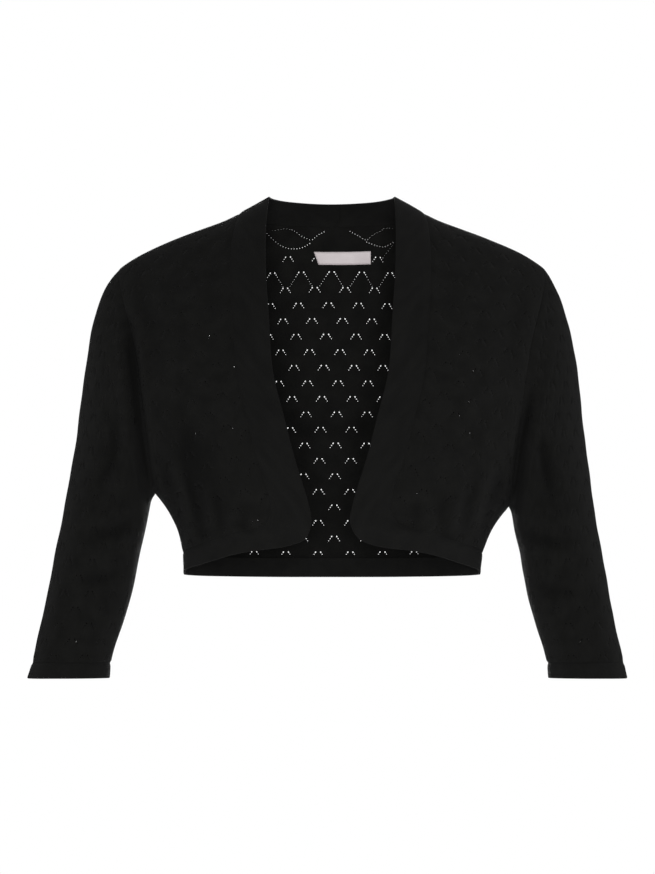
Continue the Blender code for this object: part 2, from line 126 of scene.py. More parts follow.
# The band from the neck point down the front, round the corner and along the hem.
BAND = (
    # edge_x, edge_z, seam_x, seam_z
    (62.5, 0, 92, -17.1),
    (63.5, -12, 95, -27),
    (64, -45, 98, -55),
    (62.5, -95, 98, -97),
    (60, -127, 95.5, -128),
    (58, -159, 93, -161),
    (55, -190, 90, -193),
    (44, -235, 79, -239),
    (32, -280, 67, -284),
    (21, -316, 58, -312),
    (18.5, -334, 58.5, -326),
    (25, -348, 65, -335),
    (40, -354.5, 77, -339),
    (74, -359, 97, -342.5),
    (113, -366.5, 120, -349),
    (149.3, -378.5, 149.5, -359),
)
CORNER_ROW = 10  # the row of BAND where the front seam turns into the hem seam
CORNER_CROWDING = 1.4  # how much closer the band's stations stand towards that corner
OPENING_SHIFT = -1.5  # the opening sits this far towards the wearer's right

# The back neck: ovals in plan through the neck points, one for the edge and one for the seam.
NECK_EDGE_DEPTH = 62
NECK_EDGE_RISE = 3.5
NECK_SEAM_DEPTH = 72
NECK_SEAM_DIP = -1.0
NECK_FADE = 3  # how quickly the neck's own shape gives way to the torso form
EASING = 12  # rounds in which the cloth below the neck is eased smooth
BAND_JOIN_X = 7  # where the two bands meet behind the neck

HEM_TOP = -359
HEM_EDGE = -378.5

# Sleeve rings, each given by its outermost and innermost points, after the armhole itself.
SLEEVE = {
    "right": (
        # outer_x, outer_z, inner_x, inner_z, half_depth, centre_y, roundness
        (214.5, -75, 177.5, -299, 62, -6, 0.0),
        (224.5, -85, 179, -302, 61, -6, 0.14),
        (231, -97, 180.5, -306, 60, -5, 0.3),
        (236.5, -115, 182, -311, 59, -4, 0.48),
        (242, -142, 183.5, -319, 58, -3, 0.66),
        (247.5, -178, 186, -331, 56.5, -2, 0.82),
        (253, -222, 189, -348, 54.5, -2, 0.94),
        (260, -268, 193, -370, 52.5, -3, 1.0),
        (269, -318, 199.5, -395, 50, -4, 1.0),
        (279, -370, 208, -423, 47, -6, 1.0),
        (290.5, -425, 216.5, -448, 43.5, -8, 1.0),
        (299.5, -464.5, 221, -465, 41, -9, 1.0),
    ),
    "left": (
        # outer_x, outer_z, inner_x, inner_z, half_depth, centre_y, roundness
        (214.5, -75, 177.5, -312, 62, -6, 0.0),
        (221, -84, 178.5, -315, 61, -6, 0.14),
        (227, -96, 179, -318, 60, -5, 0.3),
        (233.5, -114, 180, -323, 59, -4, 0.48),
        (241, -142, 181.5, -331, 58, -3, 0.66),
        (246.5, -178, 184, -343, 56.5, -2, 0.82),
        (251, -222, 187, -358, 54.5, -2, 0.94),
        (256, -268, 190.5, -379, 52.5, -3, 1.0),
        (263, -318, 196, -402, 50, -4, 1.0),
        (272, -370, 203, -426, 47, -6, 1.0),
        (282.5, -425, 210.5, -449, 43.5, -8, 1.0),
        (291.5, -464.5, 215, -465, 41, -9, 1.0),
    ),
}
CUFF = {
    "right": (304, -480, 222.5, -480, 42, -9.5, 1.0),
    "left": (294.5, -480, 216.5, -480, 42, -9.5, 1.0),
}
# Folds beside the armholes, as troughs in the sleeve: front ones face 90 degrees, back ones 270.
SLEEVE_FOLDS = (
    # ring, angle, depth, ring_spread, angle_spread
    (2.0, 118, 7.0, 1.3, 42),
    (3.2, 160, 4.0, 1.5, 22),
    (2.2, 244, 5.0, 1.4, 40),
    (6.5, 172, 3.0, 1.2, 40),
)

LABEL_X = (-19, 41)
LABEL_Z = (-57, -44)
LABEL_SLANT = 5.0  # how far the end on the wearer's right leans in at the foot
LABEL_LIFT = 2.7  # clearance from the back's outer face

# The lace repeat: open-topped chevrons in a half-drop, in millimetres of cloth. Rows count up
# from the hem or cuff seam. Repeats widen a little towards the hem, and lean on the back.
LACE = {
    # piece: first row's height, row height, repeat's width and its growth per mm up, and the
    # middle line's start, lean and bend
    "back": (6.0, 16.17, 33.6, -0.0055, 2.5, -0.02, 0.00016),
    "front": (7.0, 15.8, 32.5, -0.008, 4.0, 0.0, 0.0),
    "sleeve": (7.5, 15.8, 31.5, 0.0, 0.0, 0.0, 0.0),
}
CHEVRON = (
    # across, down, half_width, half_height, lean
    (2.7, 0.0, 0.68, 0.95, 32),
    (4.2, 2.2, 0.5, 0.68, 30),
    (5.7, 4.4, 0.45, 0.55, 25),
)
CHEVRON_RUN_ON = (
    # the smaller holes that close the chevrons into diamonds near the neck
    (7.4, 7.3, 0.38, 0.38, 0),
    (8.9, 9.7, 0.36, 0.36, 0),
    (10.4, 12.0, 0.36, 0.36, 0),
    (11.9, 14.2, 0.34, 0.34, 0),
)
RUN_ON_ROWS = (18,)
EDGE_ROOM = 0.35  # cells of cloth kept between a hole and a seam
SEAM_ROW = 0.3  # cells from a seam to the close row of points beside it
HOLE_ROOM = 1.8  # least distance between the middles of two holes
YARN_ROOM = 1.7  # least distance from a hole's middle to a point of the grid
HOLE_SIZE = {"back": 1.0, "front": 0.85, "sleeve": 0.85}
NECK_PLAIN = (78, -50)  # half width and lowest height of the cloth left plain under the neck
# Chains of tiny holes in scallops under the neck band: x, z in front view and the hole's size.
SCALLOPS = (
    (((-67, -26), (-62, -25.5), (-43, -22.5), (-30, -29.5), (-21, -33)), 0.42),
    (((-20, -32), (-14, -27), (-7, -23.5)), 0.45),
    (((-67, -28.5), (-60, -34.5), (-54, -38.5), (-46, -41.5), (-41, -42), (-30, -40), (-22, -35.5)), 0.52),
    (((19, -23.5), (27, -28), (36, -32.5), (43, -28), (53, -23.5)), 0.45),
    (((54, -22.3), (64, -22.8)), 0.5),
    (((36, -35), (45, -38.5), (54, -40.5), (64, -36.5)), 0.52),
    (((62, -40), (56, -47.5), (50, -55)), 0.4),
)
SCALLOP_STEP = 2.9

# Creases and gathers, listed one by one. Each is a line in front view; a trough pushes the cloth
# in and a negative depth makes a ridge. Faces: -1 in front, 1 behind.
CREASES = (
    # face, depth, half_width, line of x, z
    (-1, 12.0, 5.2, ((-201, -130), (-194, -180), (-189, -230), (-185, -272), (-182, -303))),
    (-1, -2.6, 7.0, ((-211, -140), (-206, -190), (-199, -240), (-193, -290))),
    (-1, 4.0, 6.0, ((-208, -225), (-216, -270), (-232, -300))),
    (-1, -2.2, 7.0, ((-196, -310), (-214, -322), (-236, -326))),
    (-1, 3.4, 6.0, ((-194, -322), (-212, -338), (-238, -344))),
    (-1, 2.6, 6.0, ((-204, -372), (-226, -384), (-252, -386))),
    (-1, 11.0, 5.0, ((195, -208), (190, -232), (186, -252), (184, -279), (181, -310))),
    (-1, -2.4, 7.0, ((206, -200), (199, -240), (195, -280), (190, -318))),
    (-1, 4.2, 6.0, ((200, -238), (209, -275), (217, -310))),
    (-1, 3.6, 6.0, ((188, -334), (205, -346), (228, -350))),
    (-1, 2.4, 6.0, ((198, -384), (216, -394), (240, -396))),
    (-1, -2.0, 7.0, ((192, -322), (212, -330), (234, -332))),
    (-1, 5.0, 26.0, ((-150, -235), (-132, -290), (-125, -345))),
    (-1, 3.2, 7.0, ((-172, -262), (-160, -290), (-150, -322), (-147, -350))),
    (-1, -2.4, 7.0, ((-158, -262), (-145, -295), (-137, -335))),
    (-1, 3.0, 6.5, ((-142, -280), (-130, -312), (-126, -346))),
    (-1, 2.6, 6.0, ((-114, -296), (-108, -322), (-106, -345))),
    (-1, -2.0, 7.0, ((-119, -290), (-117, -318), (-115, -344))),
    (-1, 2.4, 6.0, ((-86, -306), (-84, -326), (-82, -342))),
    (-1, 2.6, 5.0, ((-132, -343), (-122, -338), (-115, -337))),
    (-1, 2.2, 4.5, ((-100, -335), (-90, -333), (-80, -336))),
    (-1, 3.2, 7.0, ((172, -272), (160, -298), (150, -326), (147, -352))),
    (-1, -2.2, 7.0, ((158, -268), (146, -300), (138, -336))),
    (-1, 2.8, 6.5, ((140, -284), (131, -314), (126, -347))),
    (-1, 2.4, 6.0, ((110, -298), (106, -324), (104, -345))),
    (-1, -1.8, 7.0, ((121, -292), (117, -318), (114, -344))),
    (-1, 2.2, 6.0, ((82, -308), (80, -328), (79, -342))),
    (-1, 2.6, 4.5, ((54, -332), (66, -335), (80, -337))),
    (-1, 2.4, 4.5, ((102, -341), (112, -345), (122, -348))),
    (-1, 2.0, 9.0, ((-196, -98), (-176, -140), (-166, -190))),
    (-1, 1.8, 9.0, ((196, -98), (178, -140), (168, -190))),
    (-1, 1.6, 8.0, ((-150, -205), (-140, -240), (-134, -268))),
    (-1, 1.6, 8.0, ((150, -215), (141, -245), (136, -272))),
    (1, 8.0, 5.5, ((-200, -140), (-194, -185), (-187, -235), (-180, -300))),
    (1, -2.4, 7.0, ((-212, -150), (-205, -200), (-197, -260))),
    (1, 3.8, 6.5, ((-192, -320), (-212, -334), (-240, -338))),
    (1, 2.8, 6.5, ((-202, -366), (-224, -380), (-252, -384))),
    (1, 7.0, 5.5, ((200, -160), (193, -205), (186, -250), (179, -310))),
    (1, -2.2, 7.0, ((211, -160), (204, -210), (197, -268))),
    (1, 3.6, 6.5, ((190, -332), (210, -345), (236, -348))),
    (1, 2.6, 6.5, ((198, -378), (218, -390), (244, -394))),
    (1, 3.0, 8.0, ((-168, -255), (-152, -292), (-140, -335))),
    (1, 2.6, 8.0, ((-146, -262), (-126, -300), (-112, -345))),
    (1, 3.0, 8.0, ((168, -262), (150, -298), (140, -338))),
    (1, 2.4, 8.0, ((142, -270), (124, -305), (112, -346))),
    (1, 2.0, 10.0, ((-60, -215), (-30, -228), (20, -230), (58, -218))),
    (1, 1.8, 9.0, ((-92, -60), (-84, -110), (-70, -150))),
    (1, 1.8, 9.0, ((92, -60), (86, -112), (74, -150))),
)
FACE_BLEND = (6, 26)  # depths past the shoulders' crest over which a face's creases set in

# How far the cloth's own hang departs from the solids, as shares of its height and width.
HANG_MIDDLE = -240
HANG_LONGER = 0.011
HANG_TAPER = 0.008

SEAM_DIP = 0.9  # how deep the cloth turns in at its seams
SEAM_REACH = 2.4
SEAM_STILL = 12  # the cloth's waviness dies away over this distance to a seam
ARMHOLE_MIDDLE = (-12, -195)  # depth and height of the middle of both armholes

# Painted shade: the knit's colour is darkened in the creases by their depth.
PAINTED_SHADE_DEPTH = 9.0  # a crease this deep gets the full painted shade, the darkest colour
PAINTED_SHADE_STRENGTH = 2.6

LINEAR = {
    # slot: colour in the troughs, darkened as painted shade, and the yarn colour on the crowns, roughness,
    # specular, sheen, sheen roughness
    "black_knit": ((0.0004, 0.0004, 0.00037), (0.00146, 0.00146, 0.00136), 0.92, 0.015, 0.0023, 0.5),
    "black_band_knit": ((0.00055, 0.00055, 0.00052), (0.00145, 0.00145, 0.00137), 0.9, 0.015, 0.0023, 0.5),
    "label_satin": ((0.078, 0.069, 0.070), (0.105, 0.095, 0.097), 0.5, 0.1, 0.02, 0.4),
}


# The studio, in metres: the camera looks slightly up at the part, as in the photo.
CAMERA_LENS = 98.9
CAMERA_PLACE = (-0.0045, -2.4, -0.45)
CAMERA_AIM = (-0.0045, 0, -0.242)
FLOOR_HALF = 1.6
FLOOR_HEIGHT = -1.3
LIGHTS_AIM = (0, 0, -0.2)
LIGHTS = (
    # name, place, power in watts, size
    ("front", (0.0, -2.9, -0.4), 430, 0.8),
    ("right", (-2.4, 0.9, 0.4), 30, 1.4),
    ("left", (2.4, 0.3, 0.6), 75, 1.4),
    ("behind", (0, 2.6, 0.3), 190, 1.6),
)


def smooth(table, at):
    """The table's other columns at given values of its first, on a smooth curve."""
    rows = np.array(table, float)
    rows = rows[np.argsort(rows[:, 0])]
    knots, values = rows[:, 0], rows[:, 1:]
    steps = np.diff(knots)[:, None]
    slopes = np.diff(values, axis=0) / steps
    inner = (steps[1:] * slopes[:-1] + steps[:-1] * slopes[1:]) / (steps[1:] + steps[:-1])
    tangents = np.vstack([slopes[:1], inner, slopes[-1:]])
    at = np.clip(np.asarray(at, float), knots[0], knots[-1])
    k = np.clip(np.searchsorted(knots, at, side="right") - 1, 0, len(steps) - 1)
    h = steps[k]
    f = (at - knots[k])[..., None] / h
    return (
        values[k] * (2 * f**3 - 3 * f**2 + 1)
        + tangents[k] * h * (f**3 - 2 * f**2 + f)
        + values[k + 1] * (3 * f**2 - 2 * f**3)
        + tangents[k + 1] * h * (f**3 - f**2)
    )


def crest(x):
    return smooth(CREST, np.abs(x))[..., 0]


def torso_row(x, z):
    """Half width, front depth and back depth of the torso form at a height."""
    share = np.clip(0.5 + x / 2 / SIDE_X, 0, 1)
    lowered = UNDERARM_DROP * np.exp(-(((z - UNDERARM_LEVEL) / UNDERARM_REACH) ** 2)) * share
    row = smooth(TORSO, z + lowered)
    return row[..., 0], row[..., 1], row[..., 2]


def torso(angles, face):
    """Points of the torso form at (around, over)."""
    around, over = angles[..., 0], angles[..., 1]
    level, fullness = CHEST[face]
    rise = np.where(over < math.pi / 2, np.cos(over), math.pi / 2 - over)
    x = SIDE_X * np.sin(around)
    for _ in range(SETTLING):
        z = level + rise * (crest(x) - level)
        x = torso_row(x, z)[0] * np.sin(around)
    z = level + rise * (crest(x) - level)
    _, front, back = torso_row(x, z)
    depth = -front if face == "front" else back
    over_cap = 1 - np.clip(rise, 0, 1) ** fullness
    side_cap = 1 - np.abs(np.sin(around)) ** SQUARENESS
    y = depth * np.sqrt(np.clip(over_cap * side_cap, 0, 1))
    return np.stack([x, y, z], axis=-1)


def side_sign(side):
    return -1 if side == "right" else 1


def armhole_foot(side):
    return SLEEVE[side][0][3]


def armhole_xz(side, share):
    """The armhole seam in front view, by the share of its height below the shoulder point."""
    x = smooth(ARMHOLE, share)[..., 0] * side_sign(side)
    z = ARMHOLE_TOP + (armhole_foot(side) - ARMHOLE_TOP) * share
    return x, z


def over_at(x, z, face):
    level, _ = CHEST[face]
    rise = (z - level) / (crest(x) - level)
    return np.where(rise > 0, np.arccos(np.clip(rise, -1, 1)), math.pi / 2 - rise)


def angles_of(x, z, face):
    """(around, over) of a point of the torso form. around is 90 degrees at a side seam, and
    over is 0 on the shoulders' crest and grows down the cloth."""
    around = np.arcsin(np.clip(x / torso_row(x, z)[0], -1, 1))
    return np.stack([around, over_at(x, z, face)], axis=-1)


def side_angles(side, z, face):
    """Angles of points on a side seam at the given heights."""
    sign = side_sign(side)
    x = sign * torso_row(sign * SIDE_X, z)[0]
    return np.stack([0 * z + sign * math.pi / 2, over_at(x, z, face)], axis=-1)


def side_line(side, face):
    """Angles down the armhole seam and then the side seam, from shoulder to hem seam."""
    share = (1 - np.cos(np.linspace(0, math.pi, ARMHOLE_CELLS + 1))) / 2
    arm = angles_of(*armhole_xz(side, share[:-1]), face)
    arm[0, 1] = 0
    down = side_angles(side, np.linspace(armhole_foot(side), HEM_TOP, SIDE_CELLS + 1), face)
    return np.vstack([arm, down])


def band_rows(side):
    """Edge and seam angles of the front band at its table's rows."""
    rows = np.array(BAND, float)
    sign = side_sign(side)
    shift = OPENING_SHIFT * np.clip(-rows[:, 1] / 60, 0, 1) * (np.arange(len(rows)) <= CORNER_ROW)
    lines = []
    for x, z in ((rows[:, 0], rows[:, 1]), (rows[:, 2], rows[:, 3])):
        line = angles_of(sign * x + shift, z, "front")
        line[0, 1] = 0
        line[-1] = side_angles(side, z[-1:], "front")[0]
        lines.append(line)
    return lines


def band_front(side):
    """Edge and seam angles at every station of the front band, closest at its corner."""
    edge, seam = band_rows(side)
    steps = np.linalg.norm(np.diff(torso(seam, "front"), axis=0), axis=1)
    run = np.concatenate([[0], np.cumsum(steps)])
    to_go = np.linspace(1, 0, ARMHOLE_CELLS + SIDE_CELLS + 1) ** CORNER_CROWDING
    gone = np.linspace(0, 1, SHOULDER_CELLS + 1)[1:] ** CORNER_CROWDING
    front = run[CORNER_ROW] * (1 - to_go)
    hem = run[CORNER_ROW] + (run[-1] - run[CORNER_ROW]) * gone
    values = smooth(np.column_stack([run, edge, seam]), np.concatenate([front, hem]))
    return values[:, :2], values[:, 2:]


def progress(lines, axis):
    """How far along each of two facing edges has come at every station, averaged."""
    return sum((line[:, axis] - line[0, axis]) / (line[-1, axis] - line[0, axis]) for line in lines) / 2


def coons(top, foot, start, end):
    """A grid of angles between four edges: rows run from top to foot, columns from start to end.
    The side edges' own course soon fades into the panel."""
    v = progress((start, end), 1)[:, None, None]
    u = progress((top, foot), 0)[None, :, None]
    ruled = (1 - v) * top[None] + v * foot[None]
    at_start = start[:, None] - ruled[:, :1]
    at_end = end[:, None] - ruled[:, -1:]
    return ruled + (1 - u) ** EDGE_FADE * at_start + u**EDGE_FADE * at_end


def shoulder_line(side, face):
    """Angles along the crest from the band's seam to the shoulder point."""
    start = band_front(side)[1][0, 0]
    end = side_line(side, face)[0, 0]
    around = np.linspace(start, end, SHOULDER_CELLS + 1)
    return np.stack([around, 0 * around], axis=-1)


def front_panel(side):
    _, seam = band_front(side)
    rows = ARMHOLE_CELLS + SIDE_CELLS
    top = shoulder_line(side, "front")
    angles = coons(top, seam[rows:], seam[: rows + 1], side_line(side, "front"))
    return torso(angles, "front")


def neck_oval(half, depth, height, dip, count):
    """Points behind the neck from the wearer's right to the left, evenly round an oval,
    with the bands' join as the middle point."""
    join = math.asin(BAND_JOIN_X / half)
    first = np.linspace(-math.pi / 2, join, count // 2 + 1)
    second = np.linspace(join, math.pi / 2, count - count // 2 + 1)[1:]
    turn = np.concatenate([first, second])
    rise = height + dip * np.cos(turn)
    return np.stack([half * np.sin(turn), depth * np.cos(turn), rise], axis=-1)


def neck_seam():
    corner = torso(band_front("left")[1][0], "front")
    return neck_oval(corner[0], NECK_SEAM_DEPTH, corner[2], NECK_SEAM_DIP, NECK_CELLS)


def neck_edge():
    corner = torso(band_front("left")[0][0], "front")
    return neck_oval(corner[0], NECK_EDGE_DEPTH, corner[2], NECK_EDGE_RISE, NECK_CELLS)


def back_panel():
    """The back's grid: the torso form, drawn up to the neck seam along its top."""
    seam = neck_seam()
    middle = angles_of(seam[1:-1, 0], seam[1:-1, 2], "back")
    right, left = shoulder_line("right", "back"), shoulder_line("left", "back")
    top = np.vstack([right[::-1], middle, left])
    columns = len(top)
    foot_around = np.linspace(-math.pi / 2, math.pi / 2, columns)
    level = np.full(columns, float(HEM_TOP))
    half = torso_row(SIDE_X * np.sin(foot_around), level)[0]
    over = over_at(half * np.sin(foot_around), level, "back")
    foot = np.stack([foot_around, over], axis=-1)
    start, end = side_line("right", "back"), side_line("left", "back")
    foot[0], foot[-1] = start[-1], end[-1]
    grid = torso(coons(top, foot, start, end), "back")
    wanted = np.zeros_like(grid[0])
    wanted[SHOULDER_CELLS : SHOULDER_CELLS + NECK_CELLS + 1] = (
        seam - grid[0, SHOULDER_CELLS : SHOULDER_CELLS + NECK_CELLS + 1]
    )
    fade = (1 - np.linspace(0, 1, len(grid))) ** NECK_FADE
    return eased(grid + fade[:, None, None] * wanted[None], fade[1:-1, None])


def eased(grid, share):
    """The grid eased along Y as the solid's is: at the solid's own points, smooth between them."""
    depth = grid[::DENSE, ::DENSE, 1].copy()
    share = share[DENSE - 1 :: DENSE]
    for _ in range(EASING):
        middle = (depth[:-2, 1:-1] + depth[2:, 1:-1] + depth[1:-1, :-2] + depth[1:-1, 2:]) / 4
        depth[1:-1, 1:-1] += share * (middle - depth[1:-1, 1:-1])
    moved = depth - grid[::DENSE, ::DENSE, 1]
    for count in grid.shape[:2]:
        knots = np.arange(len(moved)) * DENSE
        moved = smooth(np.column_stack([knots, moved]), np.arange(count)).T
    return grid + moved[..., None] * [0, 1, 0]


def band(side, panels):
    """The neck, front and hem band of one side, from the join behind the neck to the side."""
    edge, seam = band_front(side)
    across = np.linspace(0, 1, BAND_CELLS + 1)[None, :, None]
    front = torso(edge[:, None] * (1 - across) + seam[:, None] * across, "front")
    half = NECK_CELLS // 2
    inner, outer = neck_edge(), panels["back"][0, SHOULDER_CELLS : SHOULDER_CELLS + NECK_CELLS + 1]
    if side == "right":
        inner, outer = inner[1 : half + 1][::-1], outer[1 : half + 1][::-1]
    else:
        inner, outer = inner[half:-1], outer[half:-1]
    behind = inner[:, None] * (1 - across) + outer[:, None] * across
    return np.vstack([behind, front])


def hem_band(panels):
    """The band below the back panel, from side seam to side seam."""
    top = panels["back"][-1]
    around = np.linspace(-math.pi / 2, math.pi / 2, len(top))
    level = np.full(len(top), float(HEM_EDGE))
    half, _, back = torso_row(SIDE_X * np.sin(around), level)
    side_cap = 1 - np.abs(np.sin(around)) ** SQUARENESS
    foot = np.stack([half * np.sin(around), back * np.sqrt(side_cap), level], axis=-1)
    foot[0] = panels["band_right"][-1, 0]
    foot[-1] = panels["band_left"][-1, 0]
    across = np.linspace(0, 1, HEM_CELLS + 1)[:, None, None]
    return top[None] * (1 - across) + foot[None] * across


def armhole_ring(side, panels):
    """The whole armhole seam, down the front from the shoulder point and up the back."""
    front = panels["front_" + side][: ARMHOLE_CELLS + 1, -1]
    back = panels["back"][: ARMHOLE_CELLS + 1, 0 if side == "right" else -1]
    return np.vstack([front, back[-2:0:-1]])


def sleeve_oval(sign, turn, row):
    """A ring of the sleeve or cuff from its table's row, with an oval's depth."""
    outer_x, outer_z, inner_x, inner_z, half_depth, centre_y = row
    x = sign * ((outer_x + inner_x) / 2 + (outer_x - inner_x) / 2 * np.cos(turn))
    z = (outer_z + inner_z) / 2 + (outer_z - inner_z) / 2 * np.cos(turn)
    return np.stack([x, centre_y - half_depth * np.sin(turn), z], axis=-1)


def sleeve(side, panels):
    """Rings from the armhole seam to the cuff seam, with the folds beside the armhole."""
    sign = side_sign(side)
    seam = armhole_ring(side, panels)
    turn = np.linspace(0, 2 * math.pi, len(seam), endpoint=False)
    table = np.array(SLEEVE[side], float)
    rows = np.column_stack([np.arange(len(table)), table])
    rings = []
    first = table[0]
    straight = (first[0] + first[2]) / 2 + (first[0] - first[2]) / 2 * np.cos(turn)
    bow = seam[:, 0] - sign * straight
    for number in np.linspace(0, len(table) - 1, SLEEVE_CELLS + 1):
        row = smooth(rows, number)
        round_share = row[-1]
        ring = sleeve_oval(sign, turn, row[:-1])
        ring[:, 0] += bow * (1 - round_share)
        ring[:, 1] = seam[:, 1] * (1 - round_share) + ring[:, 1] * round_share
        rings.append(ring + fold_offsets(number, turn, sign, row[0] - row[2], row[1] - row[3]))
    rings[0] = seam
    return np.array(rings)


def fold_offsets(number, turn, sign, across_x, across_z):
    """How far the sleeve's folds push a ring's points towards its middle."""
    depth = np.zeros_like(turn)
    for ring, angle, most, ring_spread, angle_spread in SLEEVE_FOLDS:
        off = (np.degrees(turn) - angle + 180) % 360 - 180
        depth += most * np.exp(-((off / angle_spread) ** 2)) * math.exp(
            -(((number - ring) / ring_spread) ** 2)
        )
    depth *= min(number, 1)
    length = math.hypot(across_x, across_z)
    lean_x, lean_z = sign * across_x / length, across_z / length
    inward = np.stack([-np.cos(turn) * lean_x, np.sin(turn), -np.cos(turn) * lean_z], axis=-1)
    return depth[:, None] * inward


def cuff(side, panels):
    """Rings from the cuff seam to the cuff's free edge."""
    start = panels["sleeve_" + side][-1]
    turn = np.linspace(0, 2 * math.pi, len(start), endpoint=False)
    end = sleeve_oval(side_sign(side), turn, CUFF[side][:-1])
    along = np.linspace(0, 1, CUFF_CELLS + 1)[:, None, None]
    return start[None] * (1 - along) + end[None] * along


def cell_normals(grid, way):
    """A unit normal for each point of an open grid, out of the garment."""
    along, down = np.gradient(grid, axis=1), np.gradient(grid, axis=0)
    normals = way * np.cross(along, down)
    return normals / np.maximum(np.linalg.norm(normals, axis=-1, keepdims=True), 1e-9)


def piece_normals(grid, way, closed):
    """The same for a piece. A tube's first and last columns are one line and share theirs."""
    normals = cell_normals(grid, way)
    if closed:
        normals[:, :1] = normals[:, -1:] = (normals[:, :1] + normals[:, -1:]) / 2
    return normals


def outward_way(grid, closed):
    """1 or -1, whichever turns the cells' normals out of the garment."""
    normals = cell_normals(grid, 1)
    middle = grid.mean(axis=1, keepdims=True) if closed else grid * [0, 0, 1] - [0, 0, 60]
    return 1 if (normals * (grid - middle)).sum() > 0 else -1


def tiled(grid, where):
    """Values of a grid at fractional (row, column) places."""
    last_row, last_column = grid.shape[0] - 1, grid.shape[1] - 1
    row = np.clip(where[..., 0], 0, last_row)
    column = np.clip(where[..., 1], 0, last_column)
    i = np.minimum(row.astype(int), last_row - 1)
    j = np.minimum(column.astype(int), last_column - 1)
    f, g = (row - i)[..., None], (column - j)[..., None]
    values = grid if grid.ndim == 3 else grid[..., None]
    found = (
        values[i, j] * (1 - f) * (1 - g)
        + values[i + 1, j] * f * (1 - g)
        + values[i, j + 1] * (1 - f) * g
        + values[i + 1, j + 1] * f * g
    )
    return found if grid.ndim == 3 else found[..., 0]


def cloth_lengths(grid, middle):
    """For each point, the cloth's length across from a middle column and up from the foot."""
    steps = np.linalg.norm(np.diff(grid, axis=1), axis=2)
    across = np.concatenate([np.zeros((len(grid), 1)), np.cumsum(steps, axis=1)], axis=1)
    across -= across[:, middle : middle + 1]
    steps = np.linalg.norm(np.diff(grid, axis=0), axis=2)
    down = np.concatenate([np.zeros((1, grid.shape[1])), np.cumsum(steps, axis=0)])
    return across, down[-1:] - down


def find(across, up, wanted, middle):
    """Fractional (row, column) places where the two fields have the wanted values. Places off
    the grid come back as None."""
    rows, columns = np.arange(across.shape[0]), np.arange(across.shape[1])
    found = []
    for s, t in wanted:
        column, row = float(middle), 0.0
        for _ in range(9):
            j = min(int(column), len(columns) - 2)
            line = up[:, j] * (1 - column + j) + up[:, j + 1] * (column - j)
            row = float(np.interp(-t, -line, rows))
            i = min(int(row), len(rows) - 2)
            line = across[i] * (1 - row + i) + across[i + 1] * (row - i)
            column = float(np.interp(s, line, columns))
        place = np.array([row, column])
        miss = abs(tiled(across, place) - s) + abs(tiled(up, place) - t)
        found.append(place if miss < 0.6 else None)
    return found


def chevron_dots(kind, across, up):
    """Holes of the lace repeat over a piece: (s, t, half width, half height, lean)."""
    first, row_height, width, growth, start, lean, bend = LACE[kind]
    scale = HOLE_SIZE[kind]
    dots = []
    for number in range(int((up.max() - first) / row_height) + 1):
        t = first + number * row_height
        pitch = width + growth * t
        shift = start + lean * t + bend * t * t + (0.5 if number % 2 == 0 else 0.0) * pitch
        most = int(np.abs(across).max() / pitch) + 2
        shape = CHEVRON
        if kind == "back" and number in RUN_ON_ROWS:
            shape = CHEVRON + CHEVRON_RUN_ON
        for k in range(-most, most + 1):
            s = shift + k * pitch
            for sign in (-1, 1):
                for dx, dy, half_width, half_height, tilt in shape:
                    dots.append((s + sign * dx, t - dy, half_width * scale, half_height * scale, sign * tilt))
    return dots


def scallop_dots():
    """Tiny holes strung along the scallops: (x, z, size)."""
    dots = []
    for line, size in SCALLOPS:
        points = np.array(line, float)
        run = np.concatenate([[0], np.cumsum(np.linalg.norm(np.diff(points, axis=0), axis=1))])
        table = np.column_stack([run, points])
        for at in np.arange(0, run[-1] + 0.1, SCALLOP_STEP):
            x, z = smooth(table, at)
            dots.append((x, z, size))
    return dots


def hole_outline(place, across, up, dot):
    """(row, column) places round one hole, by the cloth's own lengths there."""
    _, _, half_width, half_height, lean = dot
    step = np.array([[0.5, 0], [-0.5, 0], [0, 0.5], [0, -0.5]])
    s, t = tiled(across, place + step), tiled(up, place + step)
    slopes = np.array([[s[0] - s[1], s[2] - s[3]], [t[0] - t[1], t[2] - t[3]]])
    count = 8 if half_height > 0.55 else 6
    turn = np.arange(count) * 2 * math.pi / count
    ring = np.stack([half_width * np.cos(turn), half_height * np.sin(turn)], axis=1)
    tilt = math.radians(lean)
    ring = ring @ np.array([[math.cos(tilt), math.sin(tilt)], [-math.sin(tilt), math.cos(tilt)]])
    return place + ring @ np.linalg.inv(slopes).T


def spread(count):
    """Base rows or columns of the cloth mesh: each grid line, and close ones by the seams."""
    return np.array([0, SEAM_ROW, *range(1, count - 1), count - 1 - SEAM_ROW, count - 1])


def lace_holes(grid, across, up, kind):
    """(row, column) outlines of the holes wanted in a lace panel."""
    middle = grid.shape[1] // 2
    wanted = chevron_dots(kind, across, up)
    holes = []
    for dot, place in zip(wanted, find(across, up, [dot[:2] for dot in wanted], middle)):
        if place is None:
            continue
        if kind == "back":
            x, _, z = tiled(grid, place)
            if abs(x) < NECK_PLAIN[0] and z > NECK_PLAIN[1]:
                continue
        holes.append(hole_outline(place, across, up, dot))
    if kind == "back":
        tiny = scallop_dots()
        half = grid.shape[0] // 2
        fields = grid[:half, :, 0], grid[:half, :, 2]
        for (x, z, size), place in zip(tiny, find(*fields, [dot[:2] for dot in tiny], middle)):
            if place is not None:
                holes.append(hole_outline(place, across, up, (x, z, size, size, 0)))
    return holes


